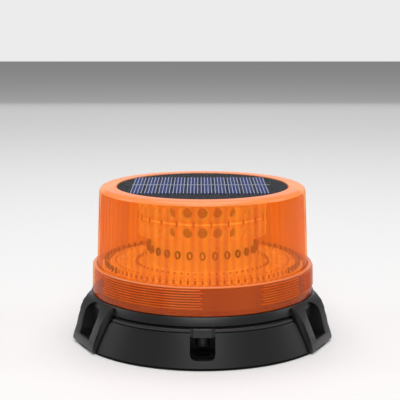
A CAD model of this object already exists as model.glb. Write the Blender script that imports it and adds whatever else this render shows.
import math

import bpy
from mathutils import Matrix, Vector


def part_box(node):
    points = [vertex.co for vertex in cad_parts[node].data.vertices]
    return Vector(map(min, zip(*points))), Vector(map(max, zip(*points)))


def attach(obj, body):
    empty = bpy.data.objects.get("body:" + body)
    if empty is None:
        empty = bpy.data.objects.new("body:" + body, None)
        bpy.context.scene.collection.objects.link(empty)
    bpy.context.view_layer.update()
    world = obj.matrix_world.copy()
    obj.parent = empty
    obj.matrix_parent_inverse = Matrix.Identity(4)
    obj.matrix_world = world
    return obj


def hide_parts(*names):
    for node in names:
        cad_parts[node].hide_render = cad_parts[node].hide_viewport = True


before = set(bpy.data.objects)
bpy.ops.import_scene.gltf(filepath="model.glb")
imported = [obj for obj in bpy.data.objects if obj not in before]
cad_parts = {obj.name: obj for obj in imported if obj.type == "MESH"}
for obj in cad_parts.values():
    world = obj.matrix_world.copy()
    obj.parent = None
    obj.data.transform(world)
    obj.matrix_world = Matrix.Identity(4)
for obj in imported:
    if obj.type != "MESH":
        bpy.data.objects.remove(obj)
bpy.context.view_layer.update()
mm = 0.001
tiny = 0.001 * mm  # points this close are one
rootBody = "beacon"


def deselectAll():
    if bpy.context.mode != "OBJECT":
        bpy.ops.object.mode_set(mode="OBJECT")
    bpy.ops.object.select_all(action="DESELECT")


def makeActive(piece):
    deselectAll()
    piece.select_set(True)
    bpy.context.view_layer.objects.active = piece


def editAll(piece):
    makeActive(piece)
    bpy.ops.object.mode_set(mode="EDIT")
    bpy.ops.mesh.select_all(action="SELECT")


def selectVerts(piece, test):
    bpy.ops.mesh.select_mode(type="VERT")
    bpy.ops.mesh.select_all(action="DESELECT")
    bpy.ops.object.mode_set(mode="OBJECT")
    for vert in piece.data.vertices:
        vert.select = test(vert.co / mm)
    bpy.ops.object.mode_set(mode="EDIT")


def selectEdges(piece, test):
    # an edge is picked by its two ends
    bpy.ops.mesh.select_mode(type="EDGE")
    bpy.ops.mesh.select_all(action="DESELECT")
    bpy.ops.object.mode_set(mode="OBJECT")
    verts = piece.data.vertices
    for edge in piece.data.edges:
        first, second = (verts[index].co / mm for index in edge.vertices)
        edge.select = test(first, second)
    bpy.ops.object.mode_set(mode="EDIT")


def closeUp():
    bpy.ops.mesh.select_all(action="SELECT")
    bpy.ops.mesh.remove_doubles(threshold=tiny)
    bpy.ops.mesh.normals_make_consistent(inside=False)
    bpy.ops.object.mode_set(mode="OBJECT")


def spot(radius, height, azimuth=0.0):
    # azimuth 0 is the front, and it grows towards the right
    turn = math.radians(azimuth)
    return (radius * math.sin(turn), -radius * math.cos(turn), height)


def drawOutline(points):
    # one point pulled out corner by corner, closed and filled
    deselectAll()
    bpy.ops.mesh.primitive_plane_add(size=mm, location=[value * mm for value in points[0]])
    piece = bpy.context.object
    bpy.ops.object.transform_apply(location=True)
    bpy.ops.object.mode_set(mode="EDIT")
    bpy.ops.mesh.select_mode(type="VERT")
    bpy.ops.mesh.select_all(action="SELECT")
    bpy.ops.mesh.merge(type="CENTER")
    for last, point in zip(points, points[1:] + points[:1]):
        step = [(after - before) * mm for after, before in zip(point, last)]
        bpy.ops.mesh.extrude_vertices_move(TRANSFORM_OT_translate={"value": step})
    bpy.ops.mesh.select_all(action="SELECT")
    bpy.ops.mesh.remove_doubles(threshold=tiny)
    bpy.ops.mesh.edge_face_add()
    return piece


def spinOutline(points, sweep, steps):
    piece = drawOutline(points)
    bpy.ops.mesh.spin(steps=steps, angle=-math.radians(sweep), center=(0, 0, 0), axis=(0, 0, 1))
    closeUp()
    return piece


def pullRings(rings, sides, centre):
    # a circle pulled up ring by ring, with its two open ends left selected
    deselectAll()
    radius, height = rings[0]
    x, y = centre[0] * mm, centre[1] * mm
    place = (x, y, height * mm)
    bpy.ops.mesh.primitive_circle_add(vertices=sides, radius=radius * mm, location=place)
    piece = bpy.context.object
    bpy.ops.object.transform_apply(location=True)
    bpy.ops.object.mode_set(mode="EDIT")
    bpy.ops.mesh.select_all(action="SELECT")
    for newRadius, newHeight in rings[1:]:
        step = (0, 0, (newHeight - height) * mm)
        bpy.ops.mesh.extrude_edges_move(TRANSFORM_OT_translate={"value": step})
        ratio = newRadius / radius
        bpy.ops.transform.resize(value=(ratio, ratio, 1), center_override=(x, y, newHeight * mm))
        radius, height = newRadius, newHeight
    bpy.ops.mesh.select_all(action="DESELECT")
    bpy.ops.mesh.select_mode(type="EDGE")
    bpy.ops.mesh.select_non_manifold()
    return piece


def turnRings(rings, sides, centre=(0.0, 0.0)):
    # a closed ring: its two ends are bridged
    piece = pullRings(rings, sides, centre)
    bpy.ops.mesh.bridge_edge_loops()
    closeUp()
    return piece


def turnSolid(rings, sides, centre=(0.0, 0.0)):
    # a solid with a flat cap at each end
    piece = pullRings(rings, sides, centre)
    bpy.ops.mesh.fill_holes(sides=0)
    closeUp()
    return piece


def roundCorner(across, height, radius, start, end, count):
    # points on an arc round (across, height), from one angle in degrees to another
    points = []
    for index in range(count + 1):
        turn = math.radians(start + (end - start) * index / count)
        points.append((across + radius * math.cos(turn), height + radius * math.sin(turn)))
    return points


def pushOut(step):
    # the selected outline becomes a block, and the block is closed
    bpy.ops.mesh.extrude_region_move(
        TRANSFORM_OT_translate={"value": [value * mm for value in step]})
    closeUp()


def copyPiece(piece):
    makeActive(piece)
    bpy.ops.object.duplicate(linked=False)
    return bpy.context.object


def turnCopy(piece, azimuth):
    turned = copyPiece(piece)
    editAll(turned)
    bpy.ops.transform.rotate(
        value=-math.radians(azimuth), orient_axis="Z", center_override=(0, 0, 0))
    bpy.ops.object.mode_set(mode="OBJECT")
    return turned


def mirrorCopy(piece):
    mirrored = copyPiece(piece)
    editAll(mirrored)
    bpy.ops.transform.resize(value=(-1, 1, 1), center_override=(0, 0, 0))
    closeUp()
    return mirrored


def joinPieces(pieces):
    deselectAll()
    for piece in pieces:
        piece.select_set(True)
    bpy.context.view_layer.objects.active = pieces[0]
    bpy.ops.object.join()
    return pieces[0]


def cutWith(piece, cutter):
    makeActive(piece)
    step = piece.modifiers.new("cut", "BOOLEAN")
    step.operation = "DIFFERENCE"
    step.object = cutter
    step.solver = "EXACT"
    bpy.ops.object.modifier_apply(modifier=step.name)
    bpy.data.objects.remove(cutter)


def finishPiece(piece, name, material, replaced=(), angle=35, body=rootBody):
    makeActive(piece)
    bpy.ops.object.transform_apply(location=True, rotation=True, scale=True)
    bpy.ops.object.shade_smooth_by_angle(angle=math.radians(angle))
    piece.name = name
    piece.data.name = name
    piece.data.materials.clear()
    piece.data.materials.append(material)
    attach(piece, body)
    if replaced:
        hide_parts(*replaced)
    return piece


def newMaterial(name):
    material = bpy.data.materials.new(name)
    material.use_nodes = True
    tree = material.node_tree
    return material, tree, tree.nodes["Principled BSDF"]


def addNode(tree, kind, **values):
    node = tree.nodes.new(kind)
    for key, value in values.items():
        if hasattr(node, key):
            setattr(node, key, value)
        else:
            node.inputs[key.replace("_", " ")].default_value = value
    return node


def mathNode(tree, operation, *values):
    node = tree.nodes.new("ShaderNodeMath")
    node.operation = operation
    for index, value in enumerate(values):
        if isinstance(value, (int, float)):
            node.inputs[index].default_value = value
        else:
            tree.links.new(value, node.inputs[index])
    return node.outputs[0]


def objectCoords(tree):
    return addNode(tree, "ShaderNodeTexCoord").outputs["Object"]


def noiseOn(tree, scale, detail=4.0):
    noise = addNode(tree, "ShaderNodeTexNoise", Scale=scale, Detail=detail, Roughness=0.6)
    tree.links.new(objectCoords(tree), noise.inputs["Vector"])
    return noise.outputs["Fac"]


def bumpFrom(tree, shader, height, strength, distance):
    bump = addNode(tree, "ShaderNodeBump", Strength=strength, Distance=distance)
    tree.links.new(height, bump.inputs["Height"])
    tree.links.new(bump.outputs["Normal"], shader.inputs["Normal"])


def blendColours(tree, factor, first, second):
    ramp = addNode(tree, "ShaderNodeValToRGB")
    ramp.color_ramp.elements[0].color = (*first, 1)
    ramp.color_ramp.elements[1].color = (*second, 1)
    tree.links.new(factor, ramp.inputs["Fac"])
    return ramp.outputs["Color"]


def mouldedPlastic(name, dark, light, roughness, grain=900, bump=0.12, specular=0.5, glow=0.0):
    # fine moulded grain, and a slow drift in colour and in polish
    material, tree, shader = newMaterial(name)
    slow = noiseOn(tree, 35.0, 3.0)
    drift = 0.1
    tree.links.new(blendColours(tree, slow, dark, light), shader.inputs["Base Color"])
    polish = mathNode(tree, "MULTIPLY_ADD", slow, drift, roughness - drift / 2)
    tree.links.new(polish, shader.inputs["Roughness"])
    shader.inputs["Specular IOR Level"].default_value = specular
    shader.inputs["Emission Color"].default_value = (1.0, 0.75, 0.5, 1)
    shader.inputs["Emission Strength"].default_value = glow
    bumpFrom(tree, shader, noiseOn(tree, grain), bump, 0.0002)
    return material


def metal(name, dark, light, roughness):
    material, tree, shader = newMaterial(name)
    brushed = noiseOn(tree, 400.0, 2.0)
    tree.links.new(blendColours(tree, brushed, dark, light), shader.inputs["Base Color"])
    shader.inputs["Metallic"].default_value = 1.0
    polish = mathNode(tree, "MULTIPLY_ADD", brushed, 0.15, roughness)
    tree.links.new(polish, shader.inputs["Roughness"])
    return material


amberTint = {
    "clear": (1.0, 0.64, 0.26, 1), "milky": (1.0, 0.36, 0.13, 1),
    "deep": (0.46, 0.035, 0.0005), "light": (1.0, 0.42, 0.03),
    "brown": (0.76, 0.10, 0.003), "rust": (0.92, 0.155, 0.008),
    "ember": (0.86, 0.12, 0.002), "spark": (0.98, 0.27, 0.03),
}


def amberPlastic(
        name, tint, hold, stripeHold=0.0, stripes=0, glow=0.0, milky=0.0, rim=(0.0790, 0.0797)):
    # tinted wall: hold is the share of light that stops in it, and the rest goes through.
    # Streaks hold stripeHold more, and the wall turns milky over the two heights of its rim.
    material, tree, shader = newMaterial(name)
    split = addNode(tree, "ShaderNodeSeparateXYZ")
    tree.links.new(objectCoords(tree), split.inputs["Vector"])
    turn = mathNode(tree, "ARCTAN2", split.outputs["X"], split.outputs["Y"])
    wave = mathNode(tree, "SINE", mathNode(tree, "MULTIPLY", turn, float(stripes)))
    rise = addNode(tree, "ShaderNodeMapRange")
    rise.inputs["From Min"].default_value = rim[0]
    rise.inputs["From Max"].default_value = rim[1]
    tree.links.new(split.outputs["Z"], rise.inputs["Value"])
    fade = mathNode(tree, "SUBTRACT", 1.0, rise.outputs["Result"])
    flute = mathNode(tree, "MULTIPLY_ADD", wave, 0.5, 0.5)
    # long vertical streaks over the even flutes, gone where the wall is milky
    stretch = addNode(tree, "ShaderNodeMapping", Scale=(1.0, 1.0, 0.05))
    tree.links.new(objectCoords(tree), stretch.inputs["Vector"])
    uneven = addNode(tree, "ShaderNodeTexNoise", Scale=130.0, Detail=3.0)
    tree.links.new(stretch.outputs["Vector"], uneven.inputs["Vector"])
    strong = mathNode(tree, "MULTIPLY_ADD", uneven.outputs["Fac"], 3.4, -1.2)
    both = mathNode(tree, "MULTIPLY_ADD", flute, 0.45, mathNode(tree, "MULTIPLY", strong, 0.55))
    streak = mathNode(tree, "MULTIPLY", both, fade)
    cloud = mathNode(tree, "MULTIPLY", noiseOn(tree, 60.0, 3.0), 0.2)
    tone = mathNode(tree, "MULTIPLY_ADD", streak, 0.8, cloud)
    paler = addNode(tree, "ShaderNodeMix", data_type="RGBA")
    tree.links.new(rise.outputs["Result"], paler.inputs["Factor"])
    deep, light = (amberTint[key] for key in tint)
    tree.links.new(blendColours(tree, tone, light, deep), paler.inputs["A"])
    paler.inputs["B"].default_value = amberTint["milky"]
    tree.links.new(paler.outputs["Result"], shader.inputs["Base Color"])
    shader.inputs["Roughness"].default_value = 0.16
    shader.inputs["IOR"].default_value = 1.5
    shader.inputs["Emission Color"].default_value = (1.0, 0.2, 0.01, 1)
    shader.inputs["Emission Strength"].default_value = glow
    bumpFrom(tree, shader, noiseOn(tree, 220.0), 0.04, 0.0003)
    clear = addNode(tree, "ShaderNodeBsdfTransparent", Color=amberTint["clear"])
    mix = addNode(tree, "ShaderNodeMixShader")
    held = mathNode(tree, "MULTIPLY_ADD", streak, stripeHold, hold)
    held = mathNode(tree, "MULTIPLY_ADD", rise.outputs["Result"], milky, held)
    tree.links.new(held, mix.inputs["Fac"])
    tree.links.new(clear.outputs["BSDF"], mix.inputs[1])
    tree.links.new(shader.outputs["BSDF"], mix.inputs[2])
    tree.links.new(mix.outputs["Shader"], tree.nodes["Material Output"].inputs["Surface"])
    return material


solarPrint = {
    "pitch": 7.36, "count": 10, "width": 5.9, "fingers": 4, "line": 0.46, "shift": -1.6,
}


def solarCellPrint():
    # blue silicon under printed silver fingers that run front to back
    material, tree, shader = newMaterial("solarCellPrint")
    split = addNode(tree, "ShaderNodeSeparateXYZ")
    tree.links.new(objectCoords(tree), split.inputs["Vector"])
    d = solarPrint
    start = d["shift"] - (d["pitch"] * (d["count"] - 1) + d["width"]) / 2
    across = mathNode(tree, "MULTIPLY_ADD", split.outputs["X"], 1 / mm, d["line"] / 2 - start)
    inCell = mathNode(tree, "FLOORED_MODULO", across, d["pitch"])
    step = (d["width"] - d["line"]) / (d["fingers"] - 1)
    inStripe = mathNode(tree, "FLOORED_MODULO", inCell, step)
    offLine = mathNode(tree, "ABSOLUTE", mathNode(tree, "SUBTRACT", inStripe, d["line"]))
    isLine = mathNode(tree, "LESS_THAN", offLine, d["line"] / 2)
    grain = addNode(tree, "ShaderNodeTexVoronoi", Scale=260.0)
    tree.links.new(objectCoords(tree), grain.inputs["Vector"])
    blue = blendColours(tree, grain.outputs["Distance"], (0.008, 0.013, 0.085), (0.018, 0.028, 0.16))
    mix = addNode(tree, "ShaderNodeMix", data_type="RGBA")
    tree.links.new(isLine, mix.inputs["Factor"])
    tree.links.new(blue, mix.inputs["A"])
    mix.inputs["B"].default_value = (0.42, 0.46, 0.64, 1)
    tree.links.new(mix.outputs["Result"], shader.inputs["Base Color"])
    shader.inputs["Roughness"].default_value = 0.45
    shader.inputs["Specular IOR Level"].default_value = 0.05
    return material


def panelClear():
    # clear cover with a faint haze over the cells
    material, tree, shader = newMaterial("panelClear")
    haze = blendColours(tree, noiseOn(tree, 90.0), (0.05, 0.055, 0.065), (0.09, 0.10, 0.115))
    tree.links.new(haze, shader.inputs["Base Color"])
    shader.inputs["Roughness"].default_value = 0.35
    shader.inputs["Specular IOR Level"].default_value = 0.03
    bumpFrom(tree, shader, noiseOn(tree, 500.0), 0.03, 0.0002)
    clear = addNode(tree, "ShaderNodeBsdfTransparent", Color=(0.97, 0.98, 1.0, 1))
    mix = addNode(tree, "ShaderNodeMixShader", Fac=0.12)
    tree.links.new(clear.outputs["BSDF"], mix.inputs[1])
    tree.links.new(shader.outputs["BSDF"], mix.inputs[2])
    tree.links.new(mix.outputs["Shader"], tree.nodes["Material Output"].inputs["Surface"])
    return material


blackPlastic = mouldedPlastic(
    "blackPlastic", (0.0065, 0.0067, 0.0068), (0.0098, 0.010, 0.0104), 0.38, specular=0.55)
buttonRubber = mouldedPlastic(
    "buttonRubber", (0.012, 0.012, 0.013), (0.020, 0.020, 0.021), 0.5, 700, 0.2)
padRubber = mouldedPlastic(
    "padRubber", (0.003, 0.003, 0.003), (0.006, 0.006, 0.006), 0.8, 500, 0.4, specular=0.2)
whitePlastic = mouldedPlastic(
    "whitePlastic", (0.78, 0.74, 0.68), (0.88, 0.84, 0.78), 0.35, 600, 0.05, glow=0.34)
studAmber = mouldedPlastic(
    "studAmber", (0.45, 0.20, 0.07), (0.60, 0.30, 0.12), 0.4, 600, 0.05)
socketDark = mouldedPlastic(
    "socketDark", (0.05, 0.025, 0.015), (0.09, 0.045, 0.03), 0.5, 600, 0.05)
ledBoard = mouldedPlastic(
    "ledBoard", (0.38, 0.34, 0.26), (0.48, 0.44, 0.34), 0.4, 600, 0.05)
circuitBoard = mouldedPlastic(
    "circuitBoard", (0.01, 0.12, 0.04), (0.02, 0.18, 0.06), 0.35, 800, 0.1)
moulding = mouldedPlastic(
    "chipMoulding", (0.012, 0.012, 0.012), (0.022, 0.022, 0.022), 0.5, 900, 0.2)
panelDark = mouldedPlastic(
    "panelDark", (0.014, 0.015, 0.017), (0.020, 0.022, 0.025), 0.5, 700, 0.05, specular=0.05)
redJacket = mouldedPlastic(
    "redJacket", (0.35, 0.01, 0.01), (0.5, 0.02, 0.015), 0.4, 500, 0.1)
cellWrap = mouldedPlastic(
    "cellWrap", (0.02, 0.12, 0.35), (0.04, 0.18, 0.45), 0.3, 200, 0.05)
steel = metal("platedSteel", (0.45, 0.45, 0.47), (0.65, 0.65, 0.67), 0.25)
nickel = metal("magnetNickel", (0.5, 0.49, 0.47), (0.62, 0.61, 0.58), 0.2)
silverRibbon = metal("silverRibbon", (0.68, 0.70, 0.75), (0.85, 0.87, 0.92), 0.4)
domeAmber = amberPlastic(
    "domeAmber", ("deep", "light"), 0.14, stripeHold=0.30, stripes=84, glow=0.22, milky=0.55)
bandAmber = amberPlastic("bandAmber", ("brown", "rust"), 0.36, milky=0.4, rim=(0.0387, 0.0393))
ridgeAmber = amberPlastic("ridgeAmber", ("ember", "spark"), 0.7)

nodeMaterials = {
    "base_housing": blackPlastic, "bottom_cover": blackPlastic, "battery_holder": blackPlastic,
    "mode_button": buttonRubber, "lens_seal": padRubber, "rubber_pad": padRubber,
    "lens_dome": domeAmber, "panel_cover": panelClear(), "solar_board": panelDark,
    "solar_cell": solarCellPrint(), "solar_busbar": silverRibbon,
    "reflector_tray": whitePlastic, "led_drum": whitePlastic, "cup_ring": whitePlastic,
    "led_strip": ledBoard, "floor_led_ring": whitePlastic, "control_board": circuitBoard,
    "switch_board": circuitBoard, "driver_chip": moulding, "capacitor": moulding,
    "tact_switch": moulding, "lead_black": moulding, "lead_red": redJacket, "magnet": nickel,
    "battery_cell": cellWrap, "cover_screw": steel, "board_screw": steel, "lens_screw": steel,
    "button_clip": steel, "button_spring": steel,
}


def paintNodes():
    for name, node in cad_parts.items():
        stem = next(stem for stem in nodeMaterials if name.startswith(stem))
        node.data.materials.clear()
        node.data.materials.append(nodeMaterials[stem])
    print("materials are on the packed nodes")


# amber lens: smooth outside, fluted inside, on a plain band
lens = {
    "sides": 420, "fluteDepth": 0.35, "fluteSides": 5, "fluteFrom": 52.0, "fluteMiddle": 54.5,
    "bandFoot": 24.6, "bandTop": 39.5, "bandFootRadius": 60.4, "bandTopRadius": 60.0,
    "bandSides": 256, "wallFootRadius": 57.7, "wallTopRadius": 56.0, "top": 81.5,
    "shoulder": 3.0, "wall": 1.1,
    "lap": 0.8, "leans": ((52.0, 0.6), (65.0, 1.2)), "innerRound": 2.5, "lipEdge": 0.3,
    "recessRadius": 46.7, "recessDepth": 2.5, "mouthRadius": 43.5,
    "footRound": 0.35, "topRound": 0.6, "joinGap": 0.25,
}


def isCrest(place, phases):
    # a point inside the wall that lies on one of these steps of a flute
    d = lens
    radius = math.hypot(place.x, place.y)
    share = math.degrees(math.atan2(place.y, place.x)) % 360 / 360
    step = round(share * d["sides"]) % d["fluteSides"]
    ceiling = d["top"] - d["recessDepth"] - d["wall"] - 1.5
    onWall = d["fluteFrom"] < radius < d["wallFootRadius"] - 0.75
    return onWall and d["bandTop"] < place.z < ceiling and step in phases


def buildDome():
    # up the outside, over the rim, down into the panel's recess and back down inside
    d = lens
    floor = d["top"] - d["recessDepth"]
    ceiling = floor - d["wall"]
    foot = d["bandTop"] - d["lap"]
    inner = d["innerRound"]
    outside = [(d["wallFootRadius"] - lean, height) for height, lean in d["leans"]]
    inside = [(radius - d["wall"], height) for radius, height in reversed(outside)]
    rings = [(d["wallFootRadius"] - d["wall"], foot), (d["wallFootRadius"], foot)]
    rings += outside
    rings += roundCorner(
        d["wallTopRadius"] - d["shoulder"], d["top"] - d["shoulder"], d["shoulder"], 0, 90, 8)
    rings += [(d["recessRadius"] + d["lipEdge"], d["top"])]
    rings += [(d["recessRadius"], d["top"] - d["lipEdge"]), (d["recessRadius"], floor)]
    rings += [(d["mouthRadius"], floor), (d["mouthRadius"], ceiling)]
    rings += roundCorner(
        d["wallTopRadius"] - d["wall"] - inner, ceiling - inner, inner, 90, 0, 4)
    rings += inside
    piece = turnRings(rings, d["sides"])
    # flutes: the inner wall is pushed in, half way and then fully
    editAll(piece)
    for share, phases in ((0.6, (1, 4)), (1.0, (2, 3))):
        selectVerts(piece, lambda place: isCrest(place, phases))
        ratio = 1 - share * d["fluteDepth"] / d["fluteMiddle"]
        bpy.ops.transform.resize(value=(ratio, ratio, 1), center_override=(0, 0, 0))
    finishPiece(piece, "flutedDome", domeAmber, ("lens_dome",), 30)
    print("dome is fluted")


def buildBand():
    d = lens
    foot, top, low, high = d["footRound"], d["topRound"], d["bandFoot"], d["bandTop"]
    join = d["wallFootRadius"] + d["joinGap"]
    rings = [(d["bandFootRadius"] - d["wall"], low), (d["bandFootRadius"] - foot, low)]
    rings += roundCorner(d["bandFootRadius"] - foot, low + foot, foot, -60, 0, 2)
    rings += roundCorner(d["bandTopRadius"] - top, high - top, top, 0, 90, 4)
    rings += [(join, high), (join, high - d["wall"])]
    rings += [(d["bandTopRadius"] - d["wall"], high - d["wall"] - top)]
    band = turnRings(rings, d["bandSides"])
    finishPiece(band, "lensBand", bandAmber, ("lens_dome",), 40)
    print("band is turned")


ridges = {
    "count": 8, "pitch": 1.32, "low": 28.6, "thick": 0.74, "proud": 0.8, "radius": 60.05,
    "step": 1.2, "inset": 0.9, "sides": 8,
    "panels": ((-59.0, 0.0), (30.0, 57.0), (61.0, 120.0), (150.0, 177.0), (181.0, 240.0)),
}


def buildRidges():
    # a ridge is a flat oval bar bent round the band, and its rows end short and long by turns
    d = ridges
    lean = (lens["bandFootRadius"] - lens["bandTopRadius"]) / (lens["bandTop"] - lens["bandFoot"])
    rows = []
    for start, end in d["panels"]:
        for row in range(d["count"]):
            height = d["low"] + d["pitch"] * row
            inset = d["inset"] if row % 2 else 0.0
            low, high = start + inset, end - inset
            middle = d["radius"] - (height - lens["bandFoot"]) * lean
            oval = []
            for index in range(d["sides"]):
                turn = math.tau * index / d["sides"]
                radius = middle + d["proud"] * math.cos(turn)
                oval.append(spot(radius, height + d["thick"] / 2 * math.sin(turn), low))
            rows.append(spinOutline(oval, high - low, int((high - low) / d["step"])))
    piece = joinPieces(rows)
    finishPiece(piece, "bandRidges", ridgeAmber, angle=60)
    print("band has its ridges")


# black base: a core, three proud skirt panels, three screw ears, a hooded recess
core = {
    "wallRadius": 60.6, "wall": 2.2, "wallTop": 19.8, "footRadius": 62.0, "topRadius": 61.0,
    "top": 24.3, "foot": 1.5, "deck": 22.8, "deckHole": 6.0, "sides": 256,
}
panel = {
    "foot": 0.6, "footRadius": 70.6, "footEdge": (0.6, 0.5), "levels": (4.0, 8.0, 12.0),
    "topRadius": 64.3, "lipFoot": 17.35, "lipRadius": 64.7, "lipTop": 19.2, "lipRound": 0.7,
    "back": 60.3, "corner": 2.6, "cornerSteps": 5, "step": 1.25, "pastMiddle": 3.0,
}
ear = {
    "angles": (-63.0, 63.0, 180.0), "halfFoot": 14.0, "halfTop": 16.8, "top": 23.6, "groove": 1.0,
    "outline": ((59.6, 0.4), (70.1, 0.4), (70.8, 1.1), (71.0, 2.3), (70.2, 5.0), (68.7, 9.0),
                (67.4, 13.0), (66.4, 15.8), (65.6, 17.8), (64.7, 19.6), (63.8, 21.0),
                (62.8, 22.2), (61.8, 23.1), (60.8, 23.7), (59.6, 23.9)),
    "widen": ((9.0, 0.33), (16.0, 0.33), (20.0, 0.198)), "round": 1.3, "roundOver": 38,
    "pocketHalf": 6.7, "pocketBack": 60.9,
    "mouth": {"low": 5.6, "spring": 17.0, "high": 23.1, "spread": 2.0, "front": 80.0},
    "hollow": {"low": 3.8, "spring": 12.0, "high": 18.0, "spread": 0.5, "front": 68.7},
    "holeRadius": 2.75, "holeAt": 66.0, "holeTop": 6.0,
}
window = {
    "half": 6.3, "floor": 4.6, "corner": 2.9, "ceiling": 15.0, "back": 50.0,
    "front": 75.0, "slotTop": 25.0, "slotBack": 62.3,
}
well = {"spare": 1.2, "low": 1.7, "drop": 0.4, "frontLow": 68.0, "frontHigh": 63.5}
hood = {
    "at": (0.0, -62.1, 17.2), "size": (10.0, 4.6, 4.4), "topRound": 0.9, "sideRound": 0.5,
    "roundBefore": -63.0, "roundAbove": 16.0,
}
alcove = {"front": 61.0, "spare": 0.1, "wall": 1.2}


def earEdge(height):
    # half width of an ear at this height, with the groove beside it, as an angle on the skirt
    rise = (height - core["foot"]) / (ear["top"] - core["foot"])
    half = ear["halfFoot"] + (ear["halfTop"] - ear["halfFoot"]) * rise + ear["groove"]
    fall = panel["topRadius"] - panel["footRadius"]
    radius = panel["footRadius"] + fall * min(height / panel["lipFoot"], 1.0)
    return math.degrees(math.asin(half / radius))


def panelOutline():
    # radius and height up the outside, over the lip and back down inside
    d = panel
    slope = (d["topRadius"] - d["footRadius"]) / (d["lipFoot"] - d["foot"])
    inset, edge = d["footEdge"]
    levels = [d["foot"] + edge, *d["levels"]]
    levels += [d["lipFoot"] - d["corner"] * (1 - index / d["cornerSteps"])
               for index in range(d["cornerSteps"])]
    outline = [(d["footRadius"] - inset, d["foot"])]
    outline += [(d["footRadius"] + slope * (level - d["foot"]), level) for level in levels]
    # a fine groove runs under the lip
    outline += [(d["topRadius"] + 0.05, d["lipFoot"] - 0.2), (d["topRadius"] - 0.6, d["lipFoot"])]
    outline += [(d["topRadius"] - 0.55, d["lipFoot"] + 0.3)]
    outline += [(d["lipRadius"] - 0.2, d["lipFoot"] + 0.5)]
    outline += roundCorner(
        d["lipRadius"] - d["lipRound"], d["lipTop"] - d["lipRound"], d["lipRound"], -20, 95, 6)
    outline += [(d["back"], d["lipTop"] - 0.1), (d["back"], d["foot"])]
    return outline


def buildPanel(low, high):
    # half of a panel is spun from its shaped end past the middle, cut there and mirrored
    middle = (low + high) / 2
    sweep = (high - low) / 2
    points = []
    for radius, height in panelOutline():
        edge = earEdge(max(height, core["foot"]))
        over = height - (panel["lipFoot"] - panel["corner"])
        if over > 0:
            over = min(over / panel["corner"], 1.0)
            edge += math.degrees(panel["corner"] * (1 - math.sqrt(1 - over * over)) / radius)
        points.append(spot(radius, height, -sweep - earEdge(core["foot"]) + edge))
    piece = spinOutline(points, sweep + panel["pastMiddle"], int(sweep / panel["step"]))
    editAll(piece)
    bpy.ops.mesh.bisect(
        plane_co=(0, 0, 0), plane_no=(1, 0, 0), clear_outer=True, threshold=tiny / 10)
    bpy.ops.object.mode_set(mode="OBJECT")
    whole = joinPieces([piece, mirrorCopy(piece)])
    editAll(whole)
    closeUp()
    turned = turnCopy(whole, middle)
    bpy.data.objects.remove(whole)
    return turned


def pocketCutter(d, half, back):
    # an arch standing on a level sill, a little wider at its spring than at its foot
    shape = [(-half, d["low"]), (half, d["low"])]
    for index in range(13):
        turn = math.pi * index / 12
        rise = (d["high"] - d["spring"]) * math.sin(turn)
        shape.append(((half + d["spread"]) * math.cos(turn), d["spring"] + rise))
    piece = drawOutline([(x, -d["front"], z) for x, z in shape])
    pushOut((0, d["front"] - back, 0))
    return piece


def buildEar():
    # one block that rises from the foot and rolls over under the band, opened by an arched
    # pocket whose floor drops behind a sill, with the screw's hole in it
    d = ear
    piece = drawOutline([(-d["halfFoot"], -radius, height) for radius, height in d["outline"]])
    pushOut((d["halfFoot"] * 2, 0, 0))
    editAll(piece)
    for level, share in d["widen"]:
        selectVerts(piece, lambda place: place.z > level)
        ratio = 1 + share * (d["halfTop"] / d["halfFoot"] - 1)
        bpy.ops.transform.resize(value=(ratio, 1, 1), center_override=(0, 0, 0))
    bpy.ops.object.mode_set(mode="OBJECT")
    cutWith(piece, pocketCutter(d["mouth"], d["pocketHalf"], d["pocketBack"]))
    cutWith(piece, pocketCutter(d["hollow"], d["pocketHalf"], d["pocketBack"]))
    hole = [(d["holeRadius"], 0.0), (d["holeRadius"], d["holeTop"])]
    cutWith(piece, turnSolid(hole, 32, (0.0, -d["holeAt"])))
    bevel = piece.modifiers.new("round", "BEVEL")
    bevel.width = d["round"] * mm
    bevel.segments = 5
    bevel.limit_method = "ANGLE"
    bevel.angle_limit = math.radians(d["roundOver"])
    makeActive(piece)
    bpy.ops.object.modifier_apply(modifier=bevel.name)
    return piece


def buildCutter(top, near):
    # the window's rounded shape as a block that runs in from the front
    d = window
    side, low = d["half"] - d["corner"], d["floor"] + d["corner"]
    shape = roundCorner(-side, low, d["corner"], 180, 270, 6)
    shape += roundCorner(side, low, d["corner"], 270, 360, 6)
    shape += [(d["half"], top), (-d["half"], top)]
    piece = drawOutline([(x, -d["front"], z) for x, z in shape])
    pushOut((0, d["front"] - near, 0))
    return piece


def buildWell():
    # the hollow behind the front wall, wider and deeper than the window, with the wall's slope
    d = well
    half, high, back = window["half"] + d["spare"], window["ceiling"] - d["drop"], window["back"]
    shape = [(d["frontLow"], d["low"]), (d["frontHigh"], high), (back, high), (back, d["low"])]
    piece = drawOutline([(-half, -radius, z) for radius, z in shape])
    pushOut((half * 2, 0, 0))
    return piece


def buildHood():
    # a small eave over the button, rounded along its top and sides
    d = hood
    deselectAll()
    bpy.ops.mesh.primitive_cube_add(size=mm, location=[value * mm for value in d["at"]])
    piece = bpy.context.object
    piece.scale = d["size"]
    bpy.ops.object.transform_apply(location=True, scale=True)
    editAll(piece)
    side = d["size"][0] / 2 - 0.1

    def onTop(first, second):
        atFront = max(first.y, second.y) < d["roundBefore"]
        return atFront and min(first.z, second.z) > d["roundAbove"]

    def onSide(first, second):
        atFront = max(first.y, second.y) < d["roundBefore"]
        return atFront and abs(first.x - second.x) < 0.01 and abs(first.x) > side

    selectEdges(piece, onTop)
    bpy.ops.mesh.bevel(offset=d["topRound"] * mm, segments=5, affect="EDGES")
    selectEdges(piece, onSide)
    bpy.ops.mesh.bevel(offset=d["sideRound"] * mm, segments=3, affect="EDGES")
    closeUp()
    return piece


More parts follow.
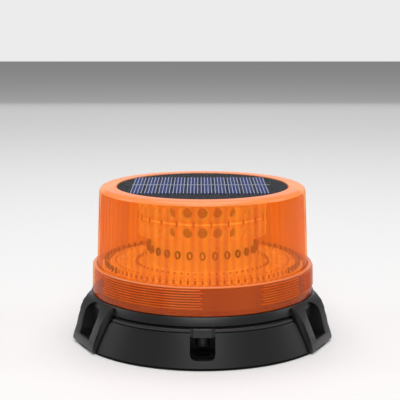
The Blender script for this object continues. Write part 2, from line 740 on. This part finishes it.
def buildAlcove():
    # the box behind the window, open to the front
    d = alcove
    floor, ceiling, back = window["floor"], window["ceiling"], window["back"]
    deselectAll()
    bpy.ops.mesh.primitive_cube_add(size=mm)
    piece = bpy.context.object
    piece.location = (0, -(d["front"] + back) / 2 * mm, (floor + ceiling) / 2 * mm)
    piece.scale = (window["half"] * 2 + d["spare"], d["front"] - back, ceiling - floor)
    bpy.ops.object.transform_apply(location=True, scale=True)
    editAll(piece)
    selectVerts(piece, lambda place: place.y < 1.0 - d["front"])
    bpy.ops.mesh.delete(type="ONLY_FACE")
    bpy.ops.mesh.select_all(action="SELECT")
    bpy.ops.mesh.normals_make_consistent(inside=True)
    bpy.ops.object.mode_set(mode="OBJECT")
    wall = piece.modifiers.new("wall", "SOLIDIFY")
    wall.thickness = d["wall"] * mm
    wall.offset = -1.0
    bpy.ops.object.modifier_apply(modifier=wall.name)
    return piece


def buildCore():
    # the round wall under the band, with its collar and deck
    d = core
    inner = d["wallRadius"] - d["wall"]
    rings = [(inner, d["foot"]), (d["wallRadius"], d["foot"]), (d["wallRadius"], d["wallTop"])]
    rings += [(d["footRadius"] - 0.1, d["wallTop"] + 0.05), (d["footRadius"], d["wallTop"] + 0.3)]
    rings += [(d["topRadius"] + 0.1, d["top"] - 0.5), (d["topRadius"] - 0.3, d["top"])]
    rings += [(d["deckHole"], d["top"]), (d["deckHole"], d["deck"]), (inner, d["deck"])]
    return turnRings(rings, d["sides"])


def buildBase():
    middle = buildCore()
    cutWith(middle, buildCutter(window["ceiling"], window["back"]))
    oneEar = buildEar()
    parts = [middle, buildHood(), buildAlcove()]
    edge = earEdge(core["foot"])
    left, right, rear = ear["angles"]
    spans = [(left + edge, right - edge), (right + edge, rear - edge)]
    spans += [(rear + edge, left + 360.0 - edge)]
    for index, (low, high) in enumerate(spans):
        side = buildPanel(low, high)
        if index == 0:
            # the front panel is opened for the button
            cutWith(side, buildCutter(window["ceiling"], window["back"]))
            cutWith(side, buildCutter(window["slotTop"], window["slotBack"]))
            cutWith(side, buildWell())
        parts.append(side)
    parts += [turnCopy(oneEar, angle) for angle in ear["angles"]]
    bpy.data.objects.remove(oneEar)
    piece = joinPieces(parts)
    finishPiece(piece, "baseShell", blackPlastic, ("base_housing",), 32)
    print("base has its panels and ears")


button = {
    "centre": (0.0, -55.4), "radius": 3.9, "low": 8.3, "well": 9.5, "high": 13.4, "footRound": 0.9,
    "groove": (1.5, 1.6, 2.0, 2.1), "grooveDepth": 0.3, "wellRing": 1.5,
    "stem": 1.7, "neck": (16.8, 16.82, 17.38, 17.4), "neckDepth": 0.4, "top": 17.7,
}


def buildButton():
    # a cap with a ring groove and a hollow top, on a stem whose neck carries the clip
    d = button
    low, radius, stem, foot = d["low"], d["radius"], d["stem"], d["footRound"]
    rings = [(radius - 1.2, low)] + roundCorner(radius - foot, low + foot, foot, -80, 0, 5)
    for rise, depth in zip(d["groove"], (0.0, d["grooveDepth"], d["grooveDepth"], 0.0)):
        rings.append((radius - depth, low + rise))
    rings += [(radius, d["high"] - 0.2), (radius - 0.2, d["high"])]
    well = stem + d["wellRing"]
    rings += [(well, d["high"]), (well, d["well"]), (stem, d["well"])]
    for height, depth in zip(d["neck"], (0.0, d["neckDepth"], d["neckDepth"], 0.0)):
        rings.append((stem - depth, height))
    rings += [(stem, d["top"] - 0.1), (stem - 0.15, d["top"])]
    piece = turnSolid(rings, 64, d["centre"])
    finishPiece(
        piece, "buttonCap", buttonRubber, ("mode_button",), 35, "button")
    print("button is capped")


pad = {"radius": 70.5, "seen": 0.6, "inner": 57.8, "top": 1.2, "edge": (0.4, 0.12), "sides": 256}


def buildPad():
    d = pad
    inset, rise = d["edge"]
    rings = [(d["radius"] - inset, 0.0), (d["radius"], rise), (d["radius"], d["seen"])]
    rings += [(d["inner"], d["seen"]), (d["inner"], d["top"])]
    piece = turnSolid(rings, d["sides"])
    hole = [(ear["holeRadius"], -1.0), (ear["holeRadius"], 3.0)]
    for azimuth in ear["angles"]:
        cutWith(piece, turnSolid(hole, 32, spot(ear["holeAt"], 0.0, azimuth)))
    finishPiece(piece, "footPad", padRubber, ("rubber_pad",), 35)
    print("pad has its holes")


# solar panel: cells and ribbon cast into a round clear cover on a dark board
solar = {
    "half": 28.0, "boardTop": 81.15, "cellTop": 81.45, "chamfer": 0.8, "sides": 192,
    "ribbonHalf": 0.6, "ribbonFrom": -36.6, "ribbonTo": 38.4, "ribbonTip": 0.5,
    "ribbonSunk": 0.03, "ribbonThick": 0.12, "coverEdge": 0.12, "boardEdge": 0.05, "boardGap": 0.1,
}


def roundSlab(radius, low, high, edge):
    rings = [(radius - edge, low), (radius, low + edge)]
    rings += [(radius, high - edge), (radius - edge, high)]
    return turnSolid(rings, solar["sides"])


def buildCover():
    d = solar
    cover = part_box("panel_cover")
    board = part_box("solar_board")
    radius = cover[1][0] / mm
    slab = roundSlab(radius, cover[0][2] / mm, cover[1][2] / mm, d["coverEdge"])
    clear = nodeMaterials["panel_cover"]
    finishPiece(slab, "panelWindow", clear, ("panel_cover",), 35)
    slab = roundSlab(radius - d["boardGap"], board[0][2] / mm, d["boardTop"], d["boardEdge"])
    finishPiece(slab, "panelBoard", panelDark, ("solar_board",), 35)
    print("panel is round")


def buildCells():
    # one cell with clipped corners, then its copies along the panel
    d = solar
    w, h, c = solarPrint["width"] / 2, d["half"], d["chamfer"]
    shape = [(c - w, -h), (w - c, -h), (w, c - h), (w, h - c)]
    shape += [(w - c, h), (c - w, h), (-w, h - c), (-w, c - h)]
    one = drawOutline([(x, y, d["boardTop"]) for x, y in shape])
    pushOut((0, 0, d["cellTop"] - d["boardTop"]))
    count = solarPrint["count"]
    cells = []
    for index in range(count):
        cell = copyPiece(one)
        editAll(cell)
        middle = (index - (count - 1) / 2) * solarPrint["pitch"] + solarPrint["shift"]
        bpy.ops.transform.translate(value=(middle * mm, 0, 0))
        bpy.ops.object.mode_set(mode="OBJECT")
        cells.append(cell)
    bpy.data.objects.remove(one)
    names = [f"solar_cell_{index + 1:02d}" for index in range(count)]
    silicon = nodeMaterials["solar_cell"]
    finishPiece(joinPieces(cells), "solarCells", silicon, names, 35)
    print("panel has its cells")


def buildRibbon():
    # a flat ribbon over the cells, with a pointed end
    d = solar
    start, end = (d[key] + solarPrint["shift"] for key in ("ribbonFrom", "ribbonTo"))
    y, tip = d["ribbonHalf"], end - d["ribbonTip"]
    shape = [(start, -y), (tip, -y), (end, 0.0), (tip, y), (start, y)]
    ribbon = drawOutline([(x, y, d["cellTop"] - d["ribbonSunk"]) for x, y in shape])
    pushOut((0, 0, d["ribbonThick"]))
    finishPiece(ribbon, "solarRibbon", silverRibbon, ("solar_busbar",), 35)


# what shows through the lens
studs = {
    "radii": (36.2, 47.4, 51.6), "pitch": 3.7, "radius": 0.5, "flare": 0.2, "low": 38.8,
    "high": 40.9, "dome": 0.4, "tipShare": 0.55, "sides": 6,
}
teeth = {
    "count": 68, "radius": 53.6, "low": 38.8, "high": 42.0, "half": 0.7, "thick": 0.8,
    "clip": (0.4, 0.5), "clearFront": 58.0,
}
sockets = {
    "count": 28, "radius": 30.6, "low": 46.2, "high": 50.6, "half": 1.6, "sides": 14,
    "rim": 0.62, "deep": 1.2,
}
ticks = {"count": 24, "radius": 35.25, "middle": 66.0, "half": 0.45, "tall": 1.9, "thick": 0.7}


def ringOfCopies(one, count, clear=0.0):
    # copies all the way round, except within this angle of the front
    angles = [360.0 * index / count for index in range(count)]
    copies = [turnCopy(one, angle) for angle in angles if clear <= angle <= 360.0 - clear]
    bpy.data.objects.remove(one)
    return joinPieces(copies)


def buildSockets():
    # one dark eye-shaped socket, copied round the drum
    d = sockets
    middle = (d["low"] + d["high"]) / 2
    outline = []
    for index in range(d["sides"]):
        turn = math.tau * index / d["sides"]
        rise = (d["high"] - middle) * math.sin(turn)
        outline.append((d["half"] * math.cos(turn), -d["radius"], middle + rise))
    one = drawOutline(outline)
    bpy.ops.mesh.select_mode(type="FACE")
    bpy.ops.mesh.inset(thickness=d["rim"] * mm, depth=0)
    bpy.ops.mesh.delete(type="FACE")
    bpy.ops.mesh.select_all(action="SELECT")
    pushOut((0, d["deep"], 0))
    finishPiece(ringOfCopies(one, d["count"]), "drumSockets", socketDark, angle=40)
    print("drum has its sockets")


def buildStuds():
    # three rings of small pointed studs stand on the tray
    d = studs
    rings = [(d["radius"] + d["flare"], d["low"]), (d["radius"], d["high"] - d["dome"])]
    rings += [(d["radius"] * d["tipShare"], d["high"])]
    rows = []
    for radius in d["radii"]:
        one = turnSolid(rings, d["sides"], (0.0, -radius))
        rows.append(ringOfCopies(one, int(math.tau * radius / d["pitch"])))
    finishPiece(joinPieces(rows), "trayStuds", studAmber, angle=40)
    print("tray has its studs")


def buildTeeth():
    # clipped teeth round the edge of the tray, at the sides and the back
    d = teeth
    half, low, high = d["half"], d["low"], d["high"]
    inset, drop = d["clip"]
    shape = [(-half, low), (half, low), (half, high - drop)]
    shape += [(half - inset, high), (inset - half, high), (-half, high - drop)]
    one = drawOutline([(x, -d["radius"], z) for x, z in shape])
    pushOut((0, d["thick"], 0))
    row = ringOfCopies(one, d["count"], d["clearFront"])
    finishPiece(row, "trayTeeth", socketDark, angle=40)
    print("tray has its teeth")


def buildTicks():
    # thin upright ovals between the upper cups
    d = ticks
    circle = roundCorner(0.0, d["middle"], 1.0, 0, 330, 11)
    one = drawOutline([(x, -d["radius"], z) for x, z in circle])
    bpy.ops.mesh.extrude_region_move(TRANSFORM_OT_translate={"value": (0, d["thick"] * mm, 0)})
    bpy.ops.mesh.select_all(action="SELECT")
    middle = (0, 0, d["middle"] * mm)
    bpy.ops.transform.resize(value=(d["half"], 1, d["tall"]), center_override=middle)
    closeUp()
    first = turnCopy(one, 180.0 / d["count"])
    bpy.data.objects.remove(one)
    finishPiece(ringOfCopies(first, d["count"]), "cupTicks", studAmber, angle=40)
    print("cups have their ticks")


view = {"at": (-1.3, -557.34, 168.77), "down": 9.739, "lens": 93.27, "sensor": 36.0}
floorSheet = {"size": 8.0, "height": -0.2, "tone": 0.86, "roughness": 0.6, "glow": 0.04}
studio = {"light": 0.2, "seen": 0.9, "tint": (0.93, 0.93, 0.94, 1), "aim": 0.04}
# each lamp has its place and size in metres and its power in watts
lamps = {
    "key": ((0.0, -1.05, 1.35), (1.0, 0.7), 7.5),
    "top": ((0.0, 0.1, 1.4), (1.2, 1.2), 14.0),
    "cardFront": ((0.0, -1.42, 0.88), (0.95, 0.22), 2.6),
    "cardLeft": ((-1.3, 0.15, 0.62), (0.6, 0.6), 2.2),
    "cardRight": ((1.3, 0.15, 0.62), (0.6, 0.6), 2.2),
    "cardBack": ((0.0, 1.6, 0.34), (2.4, 0.5), 2.0),
}


def buildCamera():
    camera = bpy.data.cameras.new("camera")
    camera.lens = view["lens"]
    camera.sensor_width = view["sensor"]
    holder = bpy.data.objects.new("camera", camera)
    bpy.context.scene.collection.objects.link(holder)
    holder.location = [value * mm for value in view["at"]]
    holder.rotation_euler = (math.radians(90 - view["down"]), 0, 0)
    bpy.context.scene.camera = holder


def buildFloor():
    d = floorSheet
    deselectAll()
    bpy.ops.mesh.primitive_plane_add(size=d["size"], location=(0, 0, d["height"] * mm))
    floor = bpy.context.object
    floor.name = "floor"
    material, _, shader = newMaterial("paleFloor")
    shader.inputs["Base Color"].default_value = (d["tone"], d["tone"], d["tone"], 1)
    shader.inputs["Roughness"].default_value = d["roughness"]
    shader.inputs["Emission Color"].default_value = (1, 1, 1, 1)
    shader.inputs["Emission Strength"].default_value = d["glow"]
    floor.data.materials.append(material)


def buildWorld():
    # the camera sees a pale room, and the object is lit by a dimmer one
    world = bpy.data.worlds.new("studio")
    world.use_nodes = True
    tree = world.node_tree
    room = tree.nodes["Background"]
    room.inputs["Color"].default_value = (1, 1, 1, 1)
    room.inputs["Strength"].default_value = studio["light"]
    seen = addNode(
        tree, "ShaderNodeBackground", Color=studio["tint"], Strength=studio["seen"])
    path = addNode(tree, "ShaderNodeLightPath")
    mix = addNode(tree, "ShaderNodeMixShader")
    tree.links.new(path.outputs["Is Camera Ray"], mix.inputs["Fac"])
    tree.links.new(room.outputs["Background"], mix.inputs[1])
    tree.links.new(seen.outputs["Background"], mix.inputs[2])
    tree.links.new(mix.outputs["Shader"], tree.nodes["World Output"].inputs["Surface"])
    bpy.context.scene.world = world


def buildLamps():
    for name, (place, size, power) in lamps.items():
        lamp = bpy.data.lights.new(name, "AREA")
        lamp.shape = "RECTANGLE"
        lamp.size, lamp.size_y = size
        lamp.energy = power
        stand = bpy.data.objects.new(name, lamp)
        bpy.context.scene.collection.objects.link(stand)
        stand.location = place
        stand.visible_camera = False
        direction = -stand.location  # aimed at the object's middle
        direction.z += studio["aim"]
        stand.rotation_euler = direction.to_track_quat("-Z", "Y").to_euler()


buildCamera()
buildFloor()
buildWorld()
buildLamps()
bpy.context.scene.view_settings.view_transform = "Standard"
print("stage is lit")
paintNodes()
buildDome()
buildBand()
buildRidges()
buildBase()
buildButton()
buildPad()
buildCover()
buildCells()
buildRibbon()
buildSockets()
buildStuds()
buildTeeth()
buildTicks()
